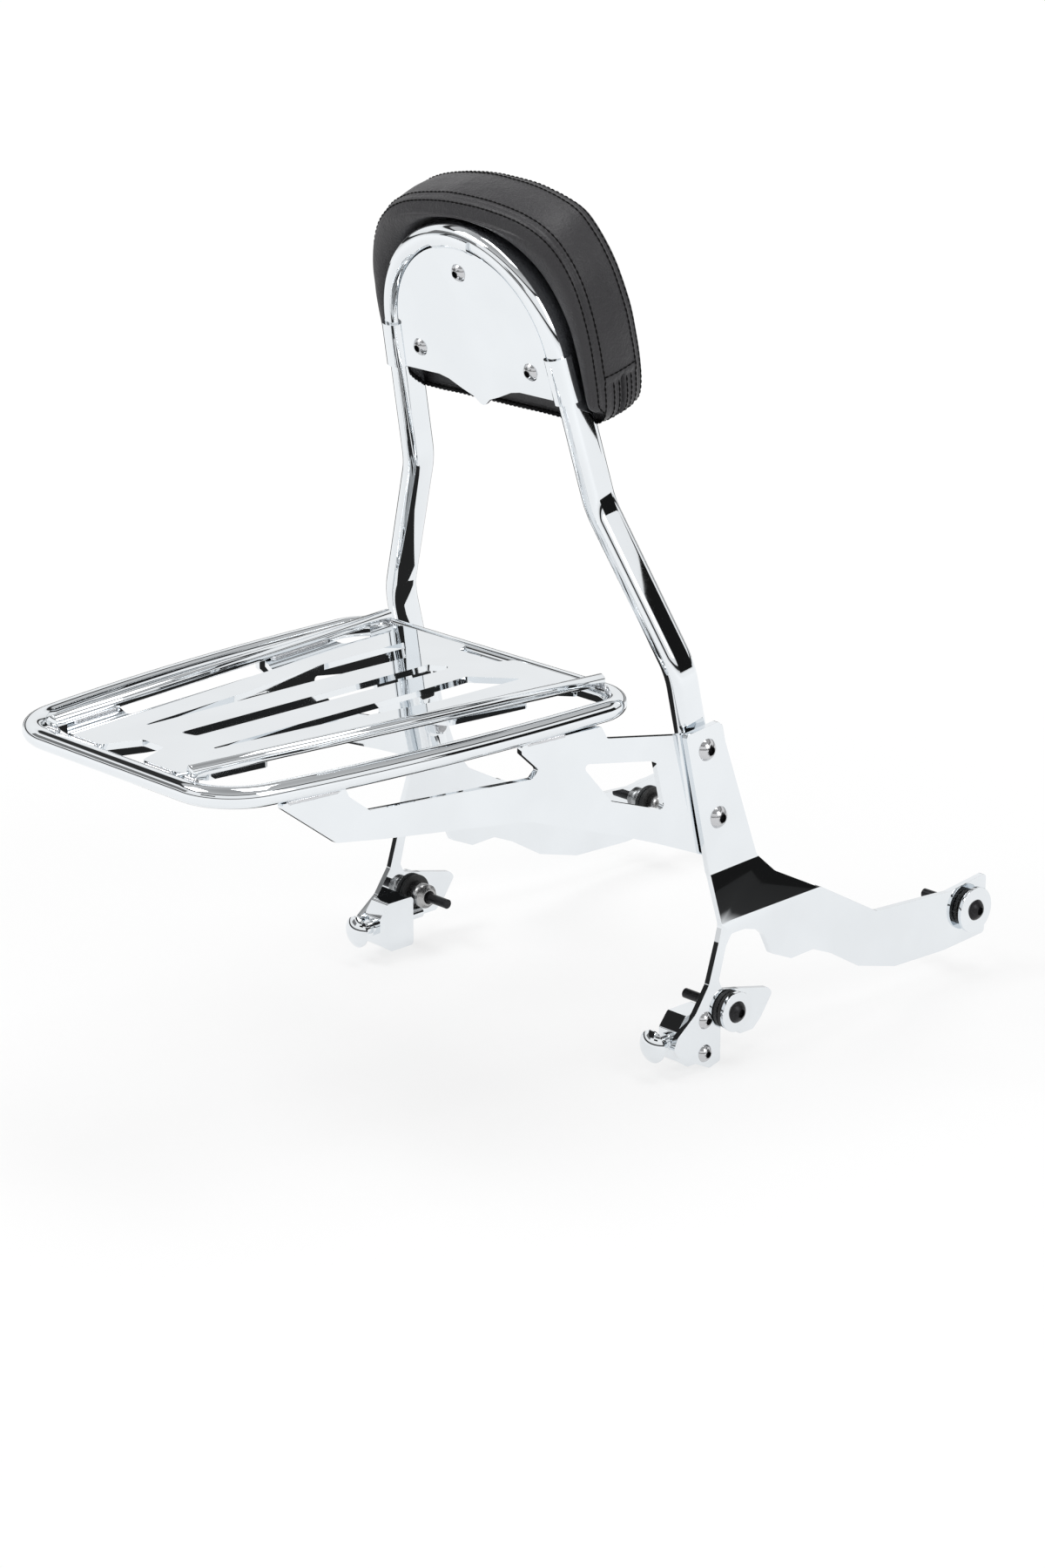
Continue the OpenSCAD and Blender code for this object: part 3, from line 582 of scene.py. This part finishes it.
PN = 192
REAR = spline([(0, 205), (40, 204), (74, 203), (93, 205), (104, 211), (110, 225), (112.5, 248), (113, 270),
               (110.5, 300), (104, 320), (92, 336), (72, 348), (40, 354.5), (0, 356.5)], PN)
SIDE = spline([(0, 203), (45, 203), (80, 202.5), (98, 204), (109, 211), (113.5, 228), (115, 255),
               (114.5, 280), (111, 308), (102, 332), (86, 350), (62, 361), (30, 366.5), (0, 368)], PN)
FRONT = spline([(0, 203), (45, 202), (78, 201), (95, 203), (107, 211), (113, 230), (115, 262), (113, 290),
                (106, 318), (95, 340), (78, 358), (45, 368), (0, 372)], PN)
HUG = spline([(0, 207), (45, 206.5), (80, 206), (96, 207), (102.8, 213), (101, 230), (99.3, 245), (98.2, 260),
              (95, 281), (85, 305), (69.5, 325.5), (49, 341), (25, 351), (0, 354.3)], PN)
MID = Vector((0, 284))


def inset(outline_pts, d):
    return [p + (MID - p).normalized() * d for p in outline_pts]


def mix(a, b, f):
    return [p.lerp(q, f) for p, q in zip(a, b)]


def low(p):
    """1 at the pad's lower edge, where the rim runs flat under the legs"""
    t = max(0.0, min(1.0, (224 - p.y) / 16))
    return t * t * (3 - 2 * t)


# the side band's depths, the height of the closure's cross seam, and its pleats: place, depth, width
BAND_P, BAND_DEPTH, BAND_RINGS = (9.6, 45.6), 39.0, 33
CLOSE_S = 239.0
PLEATS = ((17.5, 0.5, 0.8), (22.5, 0.6, 0.8), (29.5, 4.6, 1.3), (35.5, 0.6, 0.8), (40.5, 0.5, 0.8))


def step01(a, b, x):
    t = max(0.0, min(1.0, (x - a) / (b - a)))
    return t * t * (3 - 2 * t)


def band_point(i, p):
    """a point of the side band: ring index, depth from the bar's middle plane"""
    f = (p - BAND_P[0]) / BAND_DEPTH
    a, b = SIDE[i], FRONT[i]
    q = a.lerp(b, min(1.0, max(0.0, f)))
    out = (q - MID).normalized()
    bulge = 0.5 + 1.9 * math.sin(math.pi * min(1.0, max(0.0, f))) ** 0.8
    under = 1.0 - step01(CLOSE_S - 1.2, CLOSE_S + 0.6, q.y)
    dip = sum(d * math.exp(-((p - c) / w) ** 2) for c, d, w in PLEATS) * under
    lap = 0.9 * math.exp(-((q.y - CLOSE_S - 2.5) / 2.6) ** 2) if abs(q.x) > 60 else 0.0
    return q + out * (bulge - dip - 0.9 * under + lap)


def pad_rings():
    """rings of points from the middle of the rear, round the rim and the side, to the middle of the front"""
    r = []
    for f in (0.02, 0.25, 0.5, 0.75, 0.93):
        r.append(([MID.lerp(p, f) for p in HUG], 15.6, 0))
    r.append((HUG, 15.4, 0))
    r.append((inset(HUG, -0.8), 12, 1))
    r.append((inset(HUG, -1.4), 6, 1))
    r.append((mix(HUG, REAR, 0.22), 1.0, 1))
    r.append((mix(HUG, REAR, 0.5), -1.6, 1))
    r.append((mix(HUG, REAR, 0.8), -1.4, 1))
    r.append((mix(HUG, REAR, 0.95), -0.2, 1))
    r.append((inset(REAR, 0.9), 0.5, 1))
    r.append((mix(REAR, SIDE, 0.25), 1.6, 1))
    r.append((mix(REAR, SIDE, 0.75), 4.2, 1))
    r.append((mix(REAR, SIDE, 1.0), 7.0, 1))
    r.append((inset(SIDE, 0.9), 8.2, 0.6))
    for i in range(BAND_RINGS + 1):
        p = BAND_P[0] + i * (BAND_P[1] - BAND_P[0]) / BAND_RINGS
        r.append(([band_point(j, p) for j in range(PN)], p, 0.4 if i == 0 else 0))
    r.append((inset(FRONT, 0.9), 47, 0))
    r.append((inset(FRONT, 0.4), 48.6, 0))
    r.append((inset(FRONT, 2.2), 52.5, 0))
    r.append((inset(FRONT, 6.5), 56.5, 0))
    r.append((inset(FRONT, 14), 59.5, 0))
    r.append((inset(FRONT, 26), 61.5, 0))
    for f, p in ((0.6, 62.6), (0.4, 63.2), (0.2, 63.5), (0.02, 63.6)):
        r.append(([MID.lerp(q, f) for q in FRONT], p, 0))
    return r


def pad_point(q, p, rim):
    return L(q.x, q.y, p + (15.4 - p) * low(q) * rim if rim else p)


def build_pad():
    rings = []
    for pts, p, rim in pad_rings():
        rings.append([pad_point(q, p, rim) for q in pts])
    o = loft("pad", rings, LEATHER)
    for v in o.data.vertices:
        n = noise.fractal(v.co * 28, 0.8, 2.0, 3)
        v.co += v.normal * (n * 0.0005)
    sub = o.modifiers.new("smooth", "SUBSURF")
    sub.levels = sub.render_levels = 1
    return o


pad = build_pad()
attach(pad, "kit")
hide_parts("pad_cover", "pad_board")


skin = BVHTree.FromObject(pad, bpy.context.evaluated_depsgraph_get())


def on_skin(p, lift):
    """the point of the pad's finished surface nearest to p, lifted by some millimetres"""
    place, normal, _, _ = skin.find_nearest(p)
    return place + normal * (lift / 1000)


def seam_lines(name, rows, r=0.32):
    """the fine dark line that a seam draws under its stitches"""
    verts, faces = [], []
    for pts, closed in rows:
        m, base = len(pts), len(verts)
        for i in range(m):
            ahead = pts[(i + 1) % m] if closed or i < m - 1 else pts[i]
            behind = pts[i - 1] if closed or i else pts[i]
            verts += ring_about(pts[i], (ahead - behind).normalized(), r / 1000, 6)
        for i in range(m if closed else m - 1):
            a, b = base + i * 6, base + ((i + 1) % m) * 6
            for j in range(6):
                q = (j + 1) % 6
                faces.append((a + j, a + q, b + q, b + j))
        if not closed:
            faces.append(tuple(base + j for j in range(5, -1, -1)))
            faces.append(tuple(base + (m - 1) * 6 + j for j in range(6)))
    return make(name, verts, faces, THREAD)


def stitches(name, rows, pitch=4.6, length=3.3, r=0.62):
    """short lockstitches lying along rows of points; a row is closed or open"""
    verts, faces = [], []
    for pts, closed in rows:
        m = len(pts)
        acc = [0.0]
        for i in range(m if closed else m - 1):
            acc.append(acc[-1] + (pts[(i + 1) % m] - pts[i]).length * 1000)
        total = acc[-1]
        count = max(1, int(total / pitch))

        def at(u):
            u = u % total if closed else min(u, total - 1e-6)
            lo, hi = 0, len(acc) - 1
            while hi - lo > 1:
                mid = (lo + hi) // 2
                if acc[mid] <= u:
                    lo = mid
                else:
                    hi = mid
            f = (u - acc[lo]) / max(acc[lo + 1] - acc[lo], 1e-9)
            return pts[lo].lerp(pts[(lo + 1) % m], f)

        for i in range(count):
            u = total * i / count
            a, b = at(u), at(u + length)
            t = (b - a).normalized()
            base = len(verts)
            prof = ((0.0, 0.35), (0.18, 0.9), (0.5, 1.0), (0.82, 0.9), (1.0, 0.35))
            for f, w in prof:
                verts += ring_about(a.lerp(b, f), t, r * w / 1000, 6)
            for k in range(4):
                for j in range(6):
                    q = (j + 1) % 6
                    c, d = base + k * 6, base + (k + 1) * 6
                    faces.append((c + j, c + q, d + q, d + j))
            faces.append(tuple(base + j for j in range(5, -1, -1)))
            faces.append(tuple(base + 24 + j for j in range(6)))
    return make(name, verts, faces, THREAD)


def seam_rows():
    rows = []
    for base, p, rim in ((mix(REAR, SIDE, 0.75), 4.4, 1), (inset(FRONT, 1.2), 50.8, 0)):
        rows.append(([pad_point(q, p, rim) for q in inset(base, -0.15)], True))
    for p in (11.6, 43.6):
        rows.append(([pad_point(q + (q - MID).normalized() * 0.15, p, 0) for q in
                      (band_point(j, p) for j in range(PN))], True))
    # closure: rows beside the pleats under the cross seam, and the cross seam itself
    for p in (19.8, 25.2, 33.4, 38.2):
        ids = [j - PN if j > PN // 2 else j for j in range(PN) if SIDE[j].y < CLOSE_S - 2]
        ids.sort()
        rows.append(([pad_point(band_point(j % PN, p), p, 0) for j in ids], False))
    for s in (1, -1):
        beside = (j for j in range(PN) if s * SIDE[j].x > 60)
        j = min(beside, key=lambda j: abs(SIDE[j].y - CLOSE_S - 4))
        depths = [12 + 32 * k / 12 for k in range(13)]
        rows.append(([pad_point(band_point(j, p), p, 0) for p in depths], False))
    return rows


rows_raised = [([on_skin(p, 0.22) for p in pts], closed) for pts, closed in seam_rows()]
rows_flush = [([on_skin(p, 0.0) for p in pts], closed) for pts, closed in seam_rows()]
for seams in (stitches("pad_stitches", rows_raised), seam_lines("pad_seam_lines", rows_flush)):
    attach(seams, "kit")

# CAD nodes that keep their shape
for name in ("rack_deck", "rack_bracket_left", "rack_bracket_right",
             "side_plate_left", "side_plate_right", "insert_plate"):
    set_material(NODES[name], CHROME)
    polish(NODES[name])
for name in ("upright_nuts", "latch_block_left", "latch_block_right",
             "latch_plunger_left", "latch_plunger_right", "dock_washers"):
    set_material(NODES[name], CHROME)
    polish(NODES[name], 0.00035)
for name in ("upright_bolts", "latch_screws", "insert_bolts"):
    set_material(NODES[name], FASTENER)
    polish(NODES[name], 0.00035)


def paint_socket_shade(name, seats, axis, head_d):
    """paints the hex socket of each head on its seat black with the oxide material: painted shade in the
    recess
    """
    me = NODES[name].data
    # painted shade: the black oxide material goes on the socket faces in place of the recess's shade
    me.materials.append(OXIDE)
    reach = SOCKET_SHADE_SHARE * head_d / 1000
    for face in me.polygons:
        for seat in seats:
            away = face.center - seat
            along = away.dot(axis)
            if along > 0 and (away - axis * along).length < reach:
                face.material_index = 1


SMALL_HEAD, BIG_HEAD, PLATE_T, JOG = 14.0, 17.5, 4.8, 13.0
# the share of a head's diameter whose faces get the painted socket shade
SOCKET_SHADE_SHARE, UPRIGHT_BOLTS = 0.215, (-45, -103)
INSERT_P, INSERT_SCREWS = -9.6, ((0, 316), (-60, 247), (60, 247))
LATCH_Y, PIN_Z, LATCH_PITCH = 414.0, -268.15, 27.0
TAB_OUT = FLANGE_IN + 2 * PLATE_T
rearward = L(0, 0, -1000) - L(0, 0, 0)
# painted shade: the sockets of the insert bolts, upright bolts and latch screws are painted black
paint_socket_shade("insert_bolts", [L(x, q, INSERT_P) for x, q in INSERT_SCREWS], rearward, SMALL_HEAD)
for sx in (1, -1):
    out = Vector((sx, 0, 0))
    paint_socket_shade("upright_bolts", [L(sx * TAB_OUT, q) for q in UPRIGHT_BOLTS], out, BIG_HEAD)
    rows = [PIN_Z + t * LATCH_PITCH / 2 for t in (-1, 1)]
    paint_socket_shade("latch_screws", [W(sx * (TAB_OUT + JOG), LATCH_Y, z) for z in rows], out, SMALL_HEAD)
set_material(NODES["dock_sleeves"], STEEL)
polish(NODES["dock_sleeves"], 0)
for name in ("pad_spacers", "dock_bolts"):
    set_material(NODES[name], OXIDE)
    polish(NODES[name], 0.0003)
set_material(NODES["dock_rubbers"], RUBBER)
polish(NODES["dock_rubbers"], 0.0006)
set_material(NODES["pad_board"], PLASTIC)
set_material(NODES["pad_cover"], LEATHER)

# return springs: a coil of wire filling the box of each CAD spring
SPRING_TURNS, SPRING_STEPS, WIRE_R, PIN_TRAVEL = 5, 24, 0.0006, 0.0115


def spring(side):
    node = "latch_spring_" + side
    a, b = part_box(node)
    a, b = Vector(a), Vector(b)
    mid = (a + b) / 2
    r = (b.z - a.z) / 2 - WIRE_R
    rise = (b.y - a.y - 2 * WIRE_R) / (SPRING_TURNS * SPRING_STEPS)
    pts = []
    for i in range(SPRING_TURNS * SPRING_STEPS + 1):
        turn = 2 * math.pi * i / SPRING_STEPS
        y = a.y + WIRE_R + rise * i
        pts.append(Vector((mid.x + r * math.cos(turn), y, mid.z + r * math.sin(turn))))
    rings = []
    for i, p in enumerate(pts):
        t = (pts[min(i + 1, len(pts) - 1)] - pts[max(i - 1, 0)]).normalized()
        rings.append(ring_about(p, t, WIRE_R, 10, Vector((0, 1, 0))))
    o = loft("return_spring_" + side, rings, STEEL, sharp=50)
    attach(o, "kit")
    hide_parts(node)
    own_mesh(o)


spring("right")
spring("left")

# floor, light and background
WHITE = 0.93
# brightness that reflections find at each height of the sky, 0 at the horizon and 1 overhead
REFLECTED_SKY = ((0.0, 0.75), (0.03, 0.75), (0.05, 0.03), (0.13, 0.02), (0.16, 0.9), (0.5, 1.0),
                 (0.585, 0.9), (0.605, 0.04), (0.675, 0.03), (0.7, 0.6), (1.0, 0.35))


def background():
    w = bpy.data.worlds.new("world")
    scene.world = w
    w.use_nodes = True
    n, l = w.node_tree.nodes, w.node_tree.links
    n.clear()
    out = n.new("ShaderNodeOutputWorld")
    path = n.new("ShaderNodeLightPath")
    coord = n.new("ShaderNodeTexCoord")
    sep = n.new("ShaderNodeSeparateXYZ")
    l.new(coord.outputs["Generated"], sep.inputs["Vector"])
    band = ramp(n, l, sep.outputs["Z"], [(z, grey(v)) for z, v in REFLECTED_SKY])
    lit = n.new("ShaderNodeBackground")
    lit.inputs["Color"].default_value = grey(1.0)
    lit.inputs["Strength"].default_value = 0.55
    gloss = n.new("ShaderNodeBackground")
    l.new(band.outputs["Color"], gloss.inputs["Color"])
    gloss.inputs["Strength"].default_value = 1.0
    seen = n.new("ShaderNodeBackground")
    seen.inputs["Color"].default_value = grey(1.0)
    seen.inputs["Strength"].default_value = 1.0
    m1 = n.new("ShaderNodeMixShader")
    m2 = n.new("ShaderNodeMixShader")
    l.new(path.outputs["Is Glossy Ray"], m1.inputs["Fac"])
    l.new(lit.outputs["Background"], m1.inputs[1])
    l.new(gloss.outputs["Background"], m1.inputs[2])
    l.new(path.outputs["Is Camera Ray"], m2.inputs["Fac"])
    l.new(m1.outputs["Shader"], m2.inputs[1])
    l.new(seen.outputs["Background"], m2.inputs[2])
    l.new(m2.outputs["Shader"], out.inputs["Surface"])


background()

floor_z = cad_lo.z - 0.0006


def floor():
    s = 30.0
    corners = [(x * s, y * s, floor_z) for x, y in ((-1, -1), (1, -1), (1, 1), (-1, 1))]
    o = make("floor", corners, [(0, 1, 2, 3)], bpy.data.materials.new("floor"), smooth=False)
    m = o.data.materials[0]
    m.use_nodes = True
    n, l = m.node_tree.nodes, m.node_tree.links
    p = n["Principled BSDF"]
    p.inputs["Base Color"].default_value = grey(WHITE)
    p.inputs["Roughness"].default_value = 0.9
    p.inputs["Specular IOR Level"].default_value = 0.1
    glow = n.new("ShaderNodeEmission")
    glow.inputs["Color"].default_value = grey(1.0)
    place = n.new("ShaderNodeTexCoord")
    length = n.new("ShaderNodeVectorMath")
    length.operation = "LENGTH"
    l.new(place.outputs["Object"], length.inputs[0])
    rise = n.new("ShaderNodeMapRange")
    rise.inputs["From Min"].default_value = 0.7
    rise.inputs["From Max"].default_value = 3.0
    rise.inputs["To Min"].default_value = 1.0
    rise.inputs["To Max"].default_value = 1.22
    l.new(length.outputs["Value"], rise.inputs["Value"])
    l.new(rise.outputs["Result"], glow.inputs["Strength"])
    path = n.new("ShaderNodeLightPath")
    mixer = n.new("ShaderNodeMixShader")
    both = n.new("ShaderNodeMath")
    both.operation = "MULTIPLY"
    both.inputs[1].default_value = 0.7
    l.new(path.outputs["Is Camera Ray"], both.inputs[0])
    add = n.new("ShaderNodeMath")
    add.operation = "MAXIMUM"
    l.new(both.outputs["Value"], add.inputs[0])
    half = n.new("ShaderNodeMath")
    half.operation = "MULTIPLY"
    half.inputs[1].default_value = 0.68
    l.new(path.outputs["Is Glossy Ray"], half.inputs[0])
    l.new(half.outputs["Value"], add.inputs[1])
    l.new(add.outputs["Value"], mixer.inputs["Fac"])
    l.new(p.outputs["BSDF"], mixer.inputs[1])
    l.new(glow.outputs["Emission"], mixer.inputs[2])
    l.new(mixer.outputs["Shader"], n["Material Output"].inputs["Surface"])


floor()


def lamp(name, loc, target, size, power, size_y=None):
    d = bpy.data.lights.new(name, "AREA")
    d.shape = "RECTANGLE" if size_y else "SQUARE"
    d.size = size
    if size_y:
        d.size_y = size_y
    d.energy = power
    o = bpy.data.objects.new(name, d)
    scene.collection.objects.link(o)
    o.location = loc
    o.rotation_mode = "QUATERNION"
    o.rotation_quaternion = (Vector(target) - Vector(loc)).to_track_quat("-Z", "Y")
    return o


lamp("key", (-1.3, -1.6, 2.6), (0, 0, 0.1), 1.6, 38, 1.0)
lamp("fill", (2.6, 0.3, 1.5), (0, 0.1, 0.1), 1.2, 16, 1.4)
lamp("top", (0.2, 0.6, 2.8), (0, 0.1, 0), 1.8, 26, 1.2)


def card(name, centre, normal, w, h, value):
    """a plain dark card that only reflections see"""
    c, nrm = Vector(centre), Vector(normal).normalized()
    side = nrm.cross(Vector((0, 0, 1)))
    side = side.normalized() if side.length > 1e-4 else Vector((1, 0, 0))
    top = side.cross(nrm)
    m = bpy.data.materials.new(name)
    m.use_nodes = True
    n, l = m.node_tree.nodes, m.node_tree.links
    n.clear()
    e = n.new("ShaderNodeEmission")
    e.inputs["Color"].default_value = grey(value)
    e.inputs["Strength"].default_value = 1.0
    out = n.new("ShaderNodeOutputMaterial")
    l.new(e.outputs["Emission"], out.inputs["Surface"])
    a, b = side * w / 2, top * h / 2
    corners = [c - a - b, c + a - b, c + a + b, c - a + b]
    o = make(name, corners, [(0, 1, 2, 3)], m, smooth=False)
    o.visible_camera = False
    o.visible_diffuse = False
    o.visible_shadow = False
    o.visible_transmission = False
    o.visible_volume_scatter = False


# dark cards that draw lines along the tubes, and one where the fender would be
card("flag_right", (1.6, 1.5, 0.42), (-1, -0.9, 0), 1.1, 0.8, 0.01)
card("flag_rear", (0.3, -2.2, 0.9), (0, 1, -0.3), 0.9, 0.35, 0.02)
card("flag_left", (-2.1, -1.9, 1.05), (0.69, 0.65, -0.3), 1.9, 0.8, 0.2)
card("flag_far", (-2.9, 2.75, floor_z + 0.03), (0, 0, 1), 4.5, 4.6, 0.05)
card("flag_fender", (0, 0.14, -0.11), (0, 0, 1), 0.22, 0.5, 0.02)
